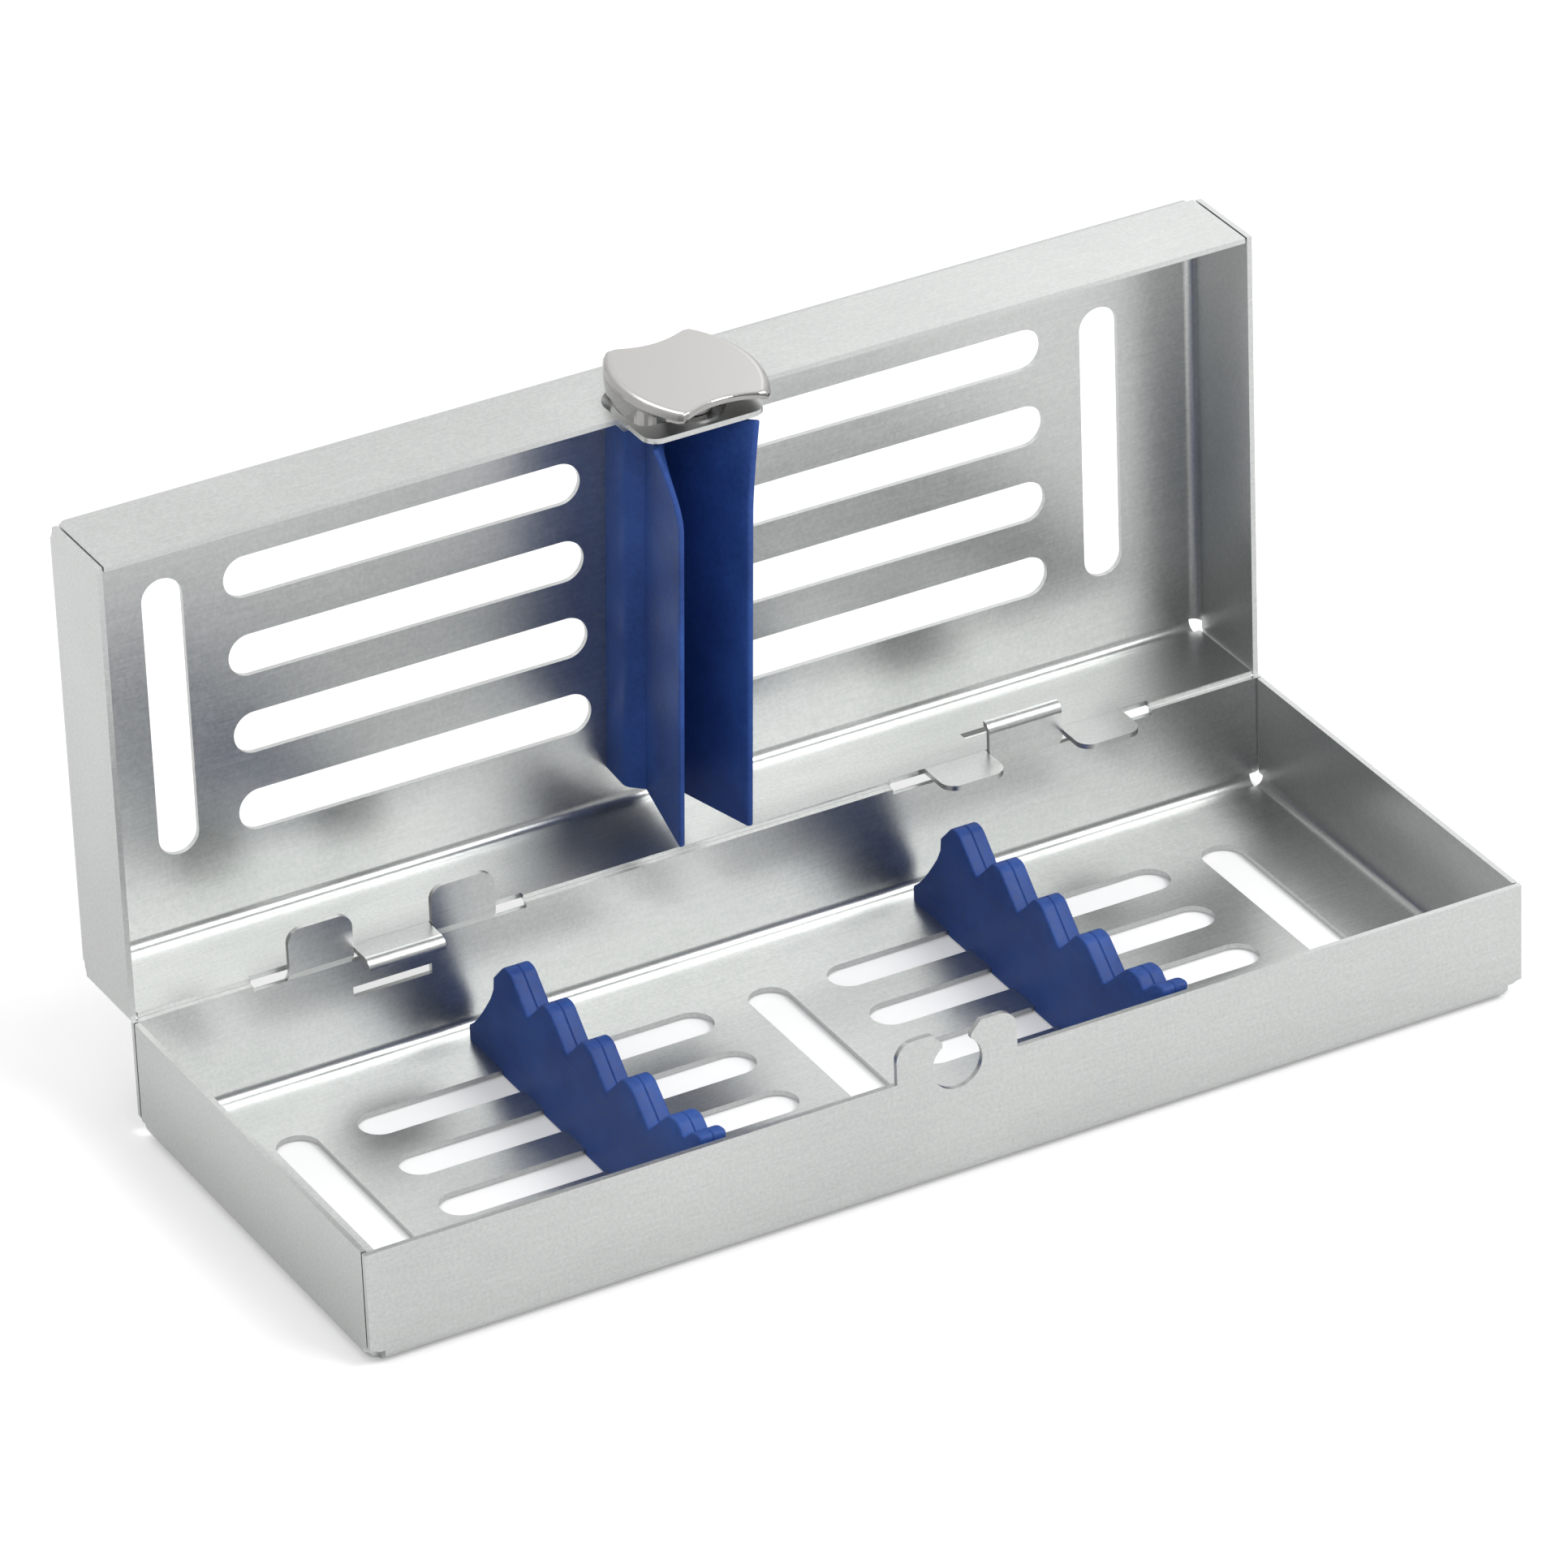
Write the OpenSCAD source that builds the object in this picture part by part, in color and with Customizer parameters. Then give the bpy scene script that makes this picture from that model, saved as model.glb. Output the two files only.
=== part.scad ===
// Instrument cassette: a pressed steel tray and lid, hooked together by their own sheet,
// with a turn latch, two moulded racks and a moulded holder. Shown with the lid opened.

/* [Cassette] */
// Length of the tray and of the lid, left to right
case_len = 180; // [165:1:210]
// Depth of the tray and of the lid, front to hinge
case_depth = 70.5; // [68:0.5:84]
// Height of the tray, underside to rim
tray_height = 17.7; // [15:0.1:22]
// Height of the lid, rim to outer face
lid_height = 16.5; // [15.5:0.1:22]
// Thickness of the steel sheet
sheet = 0.8; // [0.6:0.05:0.9]
// Outer radius of the bends between a panel and its walls
bend_radius = 2.2; // [1.6:0.1:2.6]
// Open seam between neighbouring walls at a corner
seam_gap = 0.3; // [0.1:0.05:0.6]
// Radius of the round relief cut at each panel corner
relief_radius = 2.6; // [2.2:0.1:3.2]
// Gap between the two rims when the lid is closed
rim_gap = 0.1; // [0.05:0.05:0.3]

/* [Slots] */
// Slot rows on each half of a panel
slot_rows = 4; // [2:1:4]
// Distance from one slot row to the next
row_pitch = 12.2; // [10:0.1:13]
// Width of a row slot
row_width = 6.4; // [4:0.1:7]
// Length of a row slot
row_len = 55.1; // [50:0.1:56]
// Distance from the middle of the panel to a row slot
row_start = 9.4; // [8.5:0.1:10]
// Width of the middle slot and of the end slots
cross_width = 6.2; // [5.8:0.1:6.6]
// Length of the middle slot and of the end slots
cross_len = 43.3; // [38:0.1:46]
// Distance from the middle of the panel to the end slots
cross_place = 73.8; // [72:0.1:76]

/* [Hinges] */
// Distance from the middle of the case to each hinge
hinge_place = 50.5; // [48:0.1:53]
// Width of the hook
hook_width = 11.9; // [10:0.1:13]
// Height of the hook's tip above the hinge line
hook_reach = 5.8; // [5:0.1:6.6]
// Inner radius of the hook's bend
hook_bend = 0.7; // [0.5:0.05:0.9]
// Width of each flat tab beside the hook
tab_width = 9.9; // [8:0.1:11]
// Height of the tabs above the hinge line
tab_height = 7.5; // [6.5:0.1:8.5]
// Radius of the tabs' corners
tab_round = 2.2; // [1:0.1:3]
// Depth of the set-back rim along a hinge
rim_notch = 0.8; // [0.6:0.05:1]
// Length of the set-back rim along a hinge
rim_notch_len = 42.4; // [38:0.1:46]
// Gap between a tab and the wall it lies against
leaf_gap = 0.15; // [0.1:0.01:0.25]
// Gap beside the hook
hook_gap = 0.15; // [0.1:0.01:0.3]

/* [Latch] */
// Width of the tray's latch tab
latch_tab_width = 18.7; // [17:0.1:19]
// Height of the latch tab above the rim
latch_tab_height = 6.1; // [5.5:0.1:6.4]
// Radius of the latch tab's corners
latch_tab_round = 2.7; // [1.5:0.1:3.2]
// Height of the latch axis above the hinge line
axis_lift = 0.45; // [0.3:0.05:0.6]
// Width of the keyhole's mouth
mouth_width = 7.5; // [6:0.1:8]
// Depth of the keyhole's flared mouth
mouth_depth = 1.8; // [1.2:0.1:2]
// Width of the recess in the lid that takes the latch tab
recess_width = 21.9; // [21.6:0.1:23]
// Height of the recess above the lid's rim
recess_height = 8.4; // [8:0.1:10]
// Radius of the recess's upper corners
recess_round = 4.6; // [3:0.1:5]
// Gap between the latch tab and the floor of the recess
latch_gap = 0.6; // [0.55:0.05:0.8]
// Width of the tongue that runs on from the recess
tongue_width = 18.7; // [17:0.1:19]
// Length of the tongue beyond the lid's rim
tongue_len = 5.9; // [5:0.1:6.8]
// Radius of the tongue's corners
tongue_round = 2.4; // [1:0.1:4]
// Diameter of the spindle over its blade
spindle_d = 7.5; // [7:0.1:8]
// Thickness of the spindle's blade
blade_width = 4.2; // [3.8:0.1:4.6]
// Diameter of the spindle where it turns in the lid
journal_d = 5; // [4.6:0.1:5.4]
// Diameter of the retaining washer
retainer_d = 9.8; // [9:0.1:10.4]
// Diameter of the spring washer
spring_d = 10.4; // [9:0.1:11]

/* [Knob] */
// Width of the knob across its bowed sides
knob_width = 20.8; // [18:0.1:22]
// Width of the knob across its corners
knob_corner_width = 12.9; // [12:0.1:16]
// Length of the knob over its corners
knob_len = 23.8; // [21:0.1:24]
// Length of the knob at its hollowed ends
knob_waist = 19.4; // [18:0.1:20]
// Height of the knob's cap
knob_height = 3.75; // [3.2:0.05:4.2]
// Wall of the knob's cap
knob_wall = 0.8; // [0.6:0.05:0.9]
// Radius of the rolled edge along the knob's bowed sides
knob_roll = 1.4; // [0.8:0.05:1.6]
// Radius of the edge at the knob's hollowed ends
knob_end_roll = 0.5; // [0.4:0.05:0.8]
// Gap between the knob and the closed case
knob_gap = 0.5; // [0.4:0.05:0.8]

/* [Racks] */
// Distance from the middle of the case to the left rack
left_rack_place = 38.7; // [37:0.1:41]
// Distance from the middle of the case to the right rack
right_rack_place = 32.3; // [28:0.1:32.3]
// Thickness of a rack
rack_width = 4; // [3:0.1:4.2]
// Height of a rack above the floor
rack_height = 17.6; // [14:0.1:20]
// Full teeth of a rack, besides the half tooth at its front
rack_teeth = 5; // [4:1:5]
// Distance from one tooth to the next
rack_pitch = 11.5; // [9:0.1:11.6]
// Distance from the rack's front to its first full tooth
rack_first = 6.5; // [6:0.1:8]
// Width of a tooth's flat tip
tip_width = 2; // [1:0.1:2.4]
// Gap between a rack and the tray's front wall
rack_front_gap = 0.6; // [0.4:0.1:2]
// Gap between a rack and the tray's hinge wall
rack_back_gap = 3; // [2:0.1:4]
// Radius that rounds the rack's edges
rack_round = 0.4; // [0.2:0.05:0.6]

/* [Holder] */
// Width of the holder's base
holder_base_width = 8.8; // [8:0.1:10]
// Depth of the holder's base
holder_base_depth = 6.1; // [4:0.1:7]
// Width over the two fins where they leave the base
fin_root_width = 4.4; // [4:0.1:6]
// Height of the chamfer from the base to the fins
fin_root_rise = 2.2; // [1:0.1:3]
// Depth of the holder, lid panel to fin tips
holder_depth = 25.1; // [20:0.1:26]
// Thickness of a fin where it leaves the base
fin_wall = 1.3; // [1:0.1:1.6]
// Thickness of a fin at its tip
fin_tip_wall = 0.9; // [0.7:0.1:1.2]
// Outward lean of the fins in degrees
fin_lean = 12.4; // [4:0.2:14]
// Distance from the hinge line to the holder
holder_start = 6.7; // [5:0.1:9]
// Gap between the holder and the lid's front wall
holder_end_gap = 3; // [2.8:0.1:6]
// Length over which the fins curl outward
fin_curl_len = 11; // [6:0.5:14]
// Outward curl at the fins' end
fin_curl = 2.6; // [0:0.1:4]
// Loss of depth at the fins' curled end
fin_drop = 2.9; // [0:0.1:4]
// Reach of the fin tips beyond the holder's end
fin_reach = 1.3; // [0:0.1:1.4]

/* [Hidden] */
$fn = 48;

// Cuts run this far past a face
overrun = 1;
// The lid is shown opened by this angle
lid_open = 90;
// Spacing in the running fits and in the keyhole
running_gap = 0.08;
keyhole_gap = 0.15;
neck_gap = 0.125;
washer_gap = 0.05;
// Width of the recess's floor, as a share of its width at the wall's outer face
recess_floor_share = 0.895;

open_depth = case_depth + rim_gap + lid_height;
hinge_y = case_depth - open_depth / 2;

// The tabs and the hook leave the wall's layer and run one layer further in
leaf_outer = sheet + leaf_gap;
leaf_inner = leaf_outer + sheet;
joggle_len = 1.5;
joggle_top = joggle_len - rim_notch;
hook_clear = 0.4;
hook_tip_gap = 0.1;
tab_offset = hook_width / 2 + hook_gap + tab_width / 2;

// The recess: the slope of its side, its skin across the slope, and its two outlines
recess_depth = sheet + latch_gap;
recess_slope = recess_width * (1 - recess_floor_share) / (2 * recess_depth);
recess_skin = sheet * sqrt(1 + recess_slope * recess_slope);
skin_width = recess_width + 2 * recess_skin;
skin_floor_share = (skin_width - 2 * recess_slope * (recess_depth + sheet)) / skin_width;
keyhole_r = spindle_d / 2 + keyhole_gap;
neck_width = blade_width + 2 * neck_gap;

// Heights along the latch axis, outward from the lid's front wall
cap_ceiling = knob_gap + knob_height - knob_wall;
column_gap = 0.3;
spindle_head = 0.9;
spindle_head_d = 11.4;
spring_sheet = 0.25;
spring_rise = 0.15;
spring_gap = 0.05;
blade_base = spring_sheet + spring_rise + spring_gap - recess_depth;
retainer_sheet = 0.6;
retainer_gap = 0.1;
retainer_top = -recess_depth - sheet - retainer_gap;
retainer_base = retainer_top - retainer_sheet;
stake_height = 0.4;
stake_rim = 0.8;

plug_gap = 0.15;
plug_width = 3.4;
plug_shift = -1.2;
holder_shift = -2.15;
holder_tilt_share = 0.043;
holder_draft = 0.4;

// Frames

// Hinge line at the origin: the tray lies at -Y and -Z of it
module on_tray() {
    translate([0, hinge_y, tray_height])
        children();
}

// The same for the closed lid, which lies at -Y and +Z, then opened
module on_lid() {
    translate([0, hinge_y, tray_height])
        rotate([-lid_open, 0, 0])
            children();
}

// Latch axis along +Z, starting in the outer plane of the lid's front wall
module on_latch() {
    on_lid()
        translate([0, -case_depth, axis_lift])
            rotate([90, 0, 0])
                children();
}

// Front of the tray's floor at the origin
module on_floor() {
    translate([0, hinge_y - case_depth, sheet])
        children();
}

module both_sides() {
    for (side = [0, 1])
        translate([0, -case_depth / 2, 0])
            mirror([0, side, 0])
                translate([0, case_depth / 2, 0])
                    children();
}

module both_ends() {
    for (side = [0, 1])
        mirror([side, 0, 0])
            translate([case_len / 2, 0, 0])
                children();
}

// Profiles

// Slot with round ends, along X
module slot_shape(len, width) {
    square([len - width, width], center = true);
    for (side = [-1, 1])
        translate([side * (len - width) / 2, 0])
            circle(d = width);
}

module slot_pattern() {
    for (side = [-1, 1], row = [0 : slot_rows - 1])
        translate([side * (row_start + row_len / 2), (row - (slot_rows - 1) / 2) * row_pitch])
            slot_shape(row_len, row_width);
    for (side = [-1, 0, 1])
        translate([side * cross_place, 0])
            rotate(90)
                slot_shape(cross_len, cross_width);
}

// Upright outline from y = 0, with its two upper corners rounded
module tab_shape(width, height, round) {
    translate([-width / 2, 0])
        square([width, height - round]);
    translate([round - width / 2, 0])
        square([width - 2 * round, height]);
    for (side = [-1, 1])
        intersection() {
            translate([side * (width / 2 - round), height - round])
                circle(r = round);
            translate([-width / 2, 0])
                square([width, height]);
        }
}

// A sheet bent square: outer face to the right, panel below
module bend_shape() {
    intersection() {
        translate([-bend_radius, bend_radius])
            difference() {
                circle(r = bend_radius);
                circle(r = bend_radius - sheet);
            }
        translate([-bend_radius, 0])
            square(bend_radius);
    }
}

// Pressed shells

// Profile in Y and Z, drawn out along X
module along_x(len) {
    rotate([90, 0, 90])
        linear_extrude(len, center = true)
            children();
}

// Profile in X and Z, drawn out along Y
module along_y(len) {
    rotate([90, 0, 0])
        linear_extrude(len, center = true)
            children();
}

// Panel below, rim at z = 0, hinge wall's outer face at y = 0
module pan(height, ends_outside) {
    wall_len = ends_outside ? case_len - 2 * (sheet + seam_gap) : case_len;
    end_len = ends_outside ? case_depth : case_depth - 2 * (sheet + seam_gap);
    wall_height = height - bend_radius;
    difference() {
        union() {
            translate([0, -case_depth / 2, -height])
                linear_extrude(sheet)
                    difference() {
                        square([case_len - 2 * bend_radius, case_depth - 2 * bend_radius], center = true);
                        slot_pattern();
                    }
            both_sides() {
                translate([0, 0, -height])
                    along_x(case_len - 2 * bend_radius)
                        bend_shape();
                translate([-wall_len / 2, -sheet, -wall_height])
                    cube([wall_len, sheet, wall_height]);
            }
            both_ends()
                translate([0, -case_depth / 2, 0]) {
                    translate([0, 0, -height])
                        along_y(case_depth - 2 * bend_radius)
                            bend_shape();
                    translate([-sheet, -end_len / 2, -wall_height])
                        cube([sheet, end_len, wall_height]);
                }
        }
        both_ends()
            both_sides()
                translate([0, 0, -height])
                    sphere(r = relief_radius);
    }
}

// Rim set back along a hinge, where the other shell's tabs swing over it
module rim_cut(place) {
    translate([place - rim_notch_len / 2, -sheet - overrun, -rim_notch])
        cube([rim_notch_len, sheet + 2 * overrun, rim_notch + overrun]);
}

// The joggle that takes the sheet one layer further in
module joggle_shape() {
    polygon([
        [0, -rim_notch],
        [-leaf_outer, joggle_top],
        [-leaf_inner, joggle_top],
        [-sheet, -rim_notch]
    ]);
}

module hinge_tabs(place) {
    for (side = [-1, 1])
        translate([place + side * tab_offset, 0, 0])
            intersection() {
                along_x(tab_width) {
                    joggle_shape();
                    translate([-leaf_inner, joggle_top])
                        square([sheet, tab_height - joggle_top]);
                }
                translate([0, 0, -rim_notch])
                    along_y(2 * leaf_inner + overrun)
                        tab_shape(tab_width, tab_height + rim_notch, tab_round);
            }
}

module hinge_slot(place) {
    translate([place, 0, -hook_reach])
        cube([hook_width + 2 * hook_gap, 2 * (sheet + overrun), sheet + 2 * hook_clear], center = true);
}

module hinge_hook(place) {
    bend_y = hook_bend - leaf_outer;
    bend_z = hook_reach - sheet / 2 - hook_bend;
    translate([place, 0, 0])
        along_x(hook_width) {
            joggle_shape();
            translate([-leaf_inner, joggle_top])
                square([sheet, bend_z - joggle_top]);
            translate([bend_y, bend_z])
                intersection() {
                    difference() {
                        circle(r = hook_bend + sheet);
                        circle(r = hook_bend);
                    }
                    translate([-hook_bend - sheet, 0])
                        square(hook_bend + sheet);
                }
            translate([bend_y, bend_z + hook_bend])
                square([-bend_y - hook_tip_gap, sheet]);
        }
}

module keyhole_shape() {
    translate([0, axis_lift]) {
        circle(r = keyhole_r);
        translate([-neck_width / 2, 0])
            square([neck_width, latch_tab_height]);
    }
    polygon([
        [-neck_width / 2, latch_tab_height - mouth_depth],
        [neck_width / 2, latch_tab_height - mouth_depth],
        [mouth_width / 2, latch_tab_height],
        [mouth_width / 2, latch_tab_height + overrun],
        [-mouth_width / 2, latch_tab_height + overrun],
        [-mouth_width / 2, latch_tab_height]
    ]);
}

module tray_shell() {
    color("silver")
        on_tray()
            difference() {
                union() {
                    difference() {
                        pan(tray_height, false);
                        rim_cut(-hinge_place);
                        rim_cut(hinge_place);
                    }
                    hinge_tabs(-hinge_place);
                    hinge_hook(hinge_place);
                    translate([0, sheet / 2 - case_depth, 0])
                        along_y(sheet)
                            tab_shape(latch_tab_width, latch_tab_height, latch_tab_round);
                }
                hinge_slot(-hinge_place);
                translate([0, -case_depth, 0])
                    along_y(2 * (sheet + overrun))
                        keyhole_shape();
            }
}

// Arched block from the wall's outer face inward, narrowing to its floor
module recess_block(width, height, round, depth, floor_share) {
    translate([0, -case_depth, -rim_gap])
        rotate([-90, 0, 0])
            linear_extrude(depth, scale = floor_share)
                tab_shape(width, height, round);
}

module recess_skin_block() {
    recess_block(skin_width, recess_height + recess_skin, recess_round + recess_skin,
                 recess_depth + sheet, skin_floor_share);
}

module recess_pocket() {
    recess_block(recess_width, recess_height, recess_round, recess_depth, recess_floor_share);
    translate([0, -case_depth - overrun / 2, -rim_gap])
        along_y(overrun)
            mirror([0, 1])
                tab_shape(recess_width, recess_height, recess_round);
}

module lid_tongue() {
    root = rim_gap + recess_height / 2;
    translate([0, recess_depth + sheet / 2 - case_depth, -root])
        along_y(sheet)
            tab_shape(tongue_width, tongue_len + root - rim_gap, tongue_round);
}

module lid_shell() {
    color("silver")
        on_lid()
            mirror([0, 0, 1])
                difference() {
                    union() {
                        difference() {
                            union() {
                                translate([0, 0, -rim_gap])
                                    pan(lid_height, true);
                                recess_skin_block();
                            }
                            recess_pocket();
                            rim_cut(-hinge_place);
                            rim_cut(hinge_place);
                        }
                        hinge_hook(-hinge_place);
                        hinge_tabs(hinge_place);
                        lid_tongue();
                    }
                    hinge_slot(hinge_place);
                    translate([0, recess_depth + sheet / 2 - case_depth, -axis_lift])
                        rotate([90, 0, 0])
                            cylinder(r = journal_d / 2 + running_gap, h = 2 * (sheet + overrun),
                                     center = true);
                }
}

// Latch

// The knob's outline in polar form: two bowed sides and two hollowed ends
knob_points = 96;
knob_blend = 16;
inner_end_roll = 0.12;
// Thickness added below the wall at the open ends
knob_edge = 0.15;
// Angles from the middle of a bowed side: the skirt's full part and its end
skirt_full = 22;
skirt_end = 60;
far_reach = 2 * knob_len;
side_sag = (knob_width - knob_corner_width) / 2;
side_r = (knob_len * knob_len / 4 + side_sag * side_sag) / (2 * side_sag);
side_mid = side_r - knob_width / 2;
end_sag = (knob_len - knob_waist) / 2;
end_r = (knob_corner_width * knob_corner_width / 4 + end_sag * end_sag) / (2 * end_sag);
end_mid = end_r + knob_waist / 2;

function side_reach(a) = sqrt(side_r * side_r - pow(side_mid * sin(a), 2)) - side_mid * abs(cos(a));
function end_root(a) = end_r * end_r - pow(end_mid * cos(a), 2);
function end_reach(a) = end_root(a) < 0 ? far_reach : end_mid * abs(sin(a)) - sqrt(end_root(a));
function knob_reach(a) =
    pow(pow(side_reach(a), -knob_blend) + pow(end_reach(a), -knob_blend), -1 / knob_blend);
// The rolled edge is broad along the bowed sides and tight at the hollowed ends
function side_share(a) = pow(knob_reach(a) / side_reach(a), knob_blend);
function roll_at(a, end_roll, side_roll) = end_roll + side_share(a) * (side_roll - end_roll);
// The skirt is full along the middle of a bowed side and runs out towards the open ends
function skirt_turn(a) =
    min(1, max(0, (atan2(abs(sin(a)), abs(cos(a))) - skirt_full) / (skirt_end - skirt_full)));
function skirt_rise(a) =
    let (t = skirt_turn(a)) t * t * (3 - 2 * t) * (knob_height - knob_wall - knob_edge);

// One ring of the cap: inset from the outline and turned through the roll by the angle given
function knob_ring(inset, end_roll, side_roll, turn, top) =
    [for (i = [0 : knob_points - 1])
        let (a = i * 360 / knob_points, roll = roll_at(a, end_roll, side_roll))
        let (r = knob_reach(a) - inset - roll * (1 - cos(turn)))
            [r * cos(a), r * sin(a), top - roll * (1 - sin(turn))]];
function knob_foot(inset) =
    [for (i = [0 : knob_points - 1])
        let (a = i * 360 / knob_points, r = knob_reach(a) - inset)
            [r * cos(a), r * sin(a), skirt_rise(a)]];

// A pressed cap: outer skin with a rolled edge, then the inner skin back down
module latch_knob() {
    roll_steps = 6;
    inner_steps = 3;
    inner_top = knob_height - knob_wall;
    outer = [for (i = [0 : roll_steps])
        knob_ring(0, knob_end_roll, knob_roll, 90 * i / roll_steps, knob_height)];
    inner = [for (i = [inner_steps : -1 : 0])
        knob_ring(knob_wall, inner_end_roll, knob_roll - knob_wall, 90 * i / inner_steps, inner_top)];
    rings = concat([knob_foot(0)], outer, inner, [knob_foot(knob_wall)]);
    outer_count = roll_steps + 2;
    ring_count = len(rings);
    centres = [[0, 0, knob_height], [0, 0, inner_top]];
    hub = knob_points * ring_count;
    function at(ring, i) = ring * knob_points + i % knob_points;
    function band(low, high) =
        [for (i = [0 : knob_points - 1]) each [
            [at(low, i), at(high, i), at(high, i + 1)],
            [at(low, i), at(high, i + 1), at(low, i + 1)]]];
    outer_top = outer_count - 1;
    color("gainsboro")
        on_latch()
            translate([0, 0, knob_gap])
                polyhedron(
                    points = concat([for (ring = rings) each ring], centres),
                    faces = concat(
                        [for (k = [0 : outer_count - 2]) each band(k, k + 1)],
                        [for (i = [0 : knob_points - 1])
                            [at(outer_top, i), hub, at(outer_top, i + 1)]],
                        [for (i = [0 : knob_points - 1])
                            [at(outer_count, i + 1), hub + 1, at(outer_count, i)]],
                        [for (k = [outer_count : ring_count - 2]) each band(k, k + 1)],
                        band(ring_count - 1, 0)));
}

module latch_spindle() {
    head_base = cap_ceiling - spindle_head;
    color("darkgray")
        on_latch() {
            translate([0, 0, head_base])
                cylinder(d = spindle_head_d, h = spindle_head);
            translate([0, 0, column_gap])
                cylinder(d = spindle_d, h = head_base - column_gap);
            translate([0, 0, blade_base])
                intersection() {
                    cylinder(d = spindle_d, h = column_gap - blade_base);
                    translate([-blade_width / 2, -spindle_d, 0])
                        cube([blade_width, 2 * spindle_d, column_gap - blade_base]);
                }
            translate([0, 0, retainer_top])
                cylinder(d = journal_d, h = blade_base - retainer_top);
            translate([0, 0, retainer_base])
                cylinder(d = blade_width, h = retainer_sheet);
            translate([0, 0, retainer_base - stake_height])
                cylinder(d = blade_width + 2 * stake_rim, h = stake_height);
        }
}

// Cupped washer on the floor of the recess, under the ends of the spindle's blade
module latch_spring_washer() {
    bore_r = journal_d / 2 + keyhole_gap;
    color("dimgray")
        on_latch()
            translate([0, 0, -recess_depth])
                rotate_extrude()
                    polygon([
                        [spring_d / 2, 0],
                        [spring_d / 2, spring_sheet],
                        [bore_r, spring_rise + spring_sheet],
                        [bore_r, spring_rise]
                    ]);
}

module latch_retaining_washer() {
    color("darkgray")
        on_latch()
            translate([0, 0, retainer_base])
                difference() {
                    cylinder(d = retainer_d, h = retainer_sheet);
                    translate([0, 0, -overrun])
                        cylinder(r = blade_width / 2 + washer_gap, h = retainer_sheet + 2 * overrun);
                }
}

// Moulded racks

rack_front = sheet + rack_front_gap;
rack_back = case_depth - sheet - rack_back_gap;
// Chamfer that clears the inside of the tray's bend
rack_foot = bend_radius - sheet - rack_front_gap + plug_gap;
first_tooth = rack_front + rack_first;
last_tooth = first_tooth + (rack_teeth - 1) * rack_pitch;
tooth_fall = (rack_pitch - tip_width) / 2;
front_fall = (rack_first - 1.5 * tip_width) / 2;
// The hollowed back, as shares of the run behind the last tooth and of the height
heel_share = 0.13;
lip_low_share = 0.7;
lip_share = 0.81;
lip_run_share = 0.27;
lip_back_share = 0.02;
hollow_power = 1.25;
hollow_steps = 6;

module rack_outline() {
    run = rack_back - last_tooth - tip_width / 2;
    lip_y = last_tooth + tip_width / 2 + lip_run_share * run;
    lip_low = lip_low_share * rack_height;
    heel = heel_share * rack_height;
    hollow = [for (i = [0 : hollow_steps])
        let (s = i / hollow_steps)
            [rack_back - s * (rack_back - lip_y), heel + pow(s, hollow_power) * (lip_low - heel)]];
    teeth = [for (i = [rack_teeth - 1 : -1 : 0])
        let (y = first_tooth + i * rack_pitch, fall = i == 0 ? front_fall : tooth_fall)
            each [
                [y + tip_width / 2, rack_height],
                [y - tip_width / 2, rack_height],
                [y - tip_width / 2 - fall, rack_height - fall]]];
    polygon(concat(
        [[rack_front, rack_foot], [rack_front + rack_foot, 0], [rack_back, 0]],
        hollow,
        [[lip_y + lip_back_share * run, lip_share * rack_height]],
        teeth,
        [[rack_front + tip_width, rack_height], [rack_front, rack_height]]));
}

module rack(place) {
    on_floor()
        translate([place, 0, 0]) {
            along_x(rack_width)
                offset(r = rack_round, $fn = 16)
                    offset(r = -2 * rack_round, $fn = 16)
                        offset(r = rack_round, $fn = 16)
                            rack_outline();
            for (row = [0 : slot_rows - 1])
                translate([-rack_width / 2, case_depth / 2 + (row - (slot_rows - 1) / 2) * row_pitch, 0])
                    translate([0, plug_gap - row_width / 2, -sheet])
                        cube([rack_width, row_width - 2 * plug_gap, sheet + rack_round]);
        }
}

module rack_left() {
    color("royalblue")
        rack(-left_rack_place);
}

module rack_right() {
    color("royalblue")
        rack(right_rack_place);
}

// Moulded holder

holder_end = case_depth - sheet - holder_end_gap;
holder_mid = (holder_start + holder_end) / 2;
curl_start = holder_end - fin_curl_len;
fin_steps = 3;
curl_steps = 6;
curl_power = 1.6;
fin_root = holder_base_depth + fin_root_rise;
fin_valley = fin_root + fin_wall / 2;

function curl_at(v) = pow(max(0, v - curl_start) / fin_curl_len, curl_power);
function fin_tip(v) = holder_depth - fin_drop * curl_at(v);
function fin_out(s, v) =
    fin_root_width / 2 + s * (holder_depth - fin_root) * tan(fin_lean) + s * s * fin_curl * curl_at(v);
function fin_thick(s) = fin_wall + s * (fin_tip_wall - fin_wall);
// One side of the section at the distance v from the hinge, each point with its share along the fin:
// out from the panel to the tip, then in to the valley
function half_section(v) = concat(
    [[holder_base_width / 2 - holder_draft, 0, 0], [holder_base_width / 2, holder_base_depth, 0]],
    [for (i = [0 : fin_steps])
        let (s = i / fin_steps)
            [fin_out(s, v), fin_root + s * (fin_tip(v) - fin_root), s]],
    [for (i = [fin_steps : -1 : 0])
        let (s = i / fin_steps)
            [fin_out(s, v) - fin_thick(s), fin_valley + s * (fin_tip(v) - fin_valley), s]]);
function section(v) =
    let (half = half_section(v), count = len(half))
        concat(half, [for (i = [count - 1 : -1 : 0]) [-half[i][0], half[i][1], half[i][2]]]);
function lift_section(v) =
    let (x = holder_shift + holder_tilt_share * (v - holder_mid), reach = fin_reach * curl_at(v))
        [for (p = section(v)) [p[0] + x, -v - reach * p[2] * p[2], -p[1]]];

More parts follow.
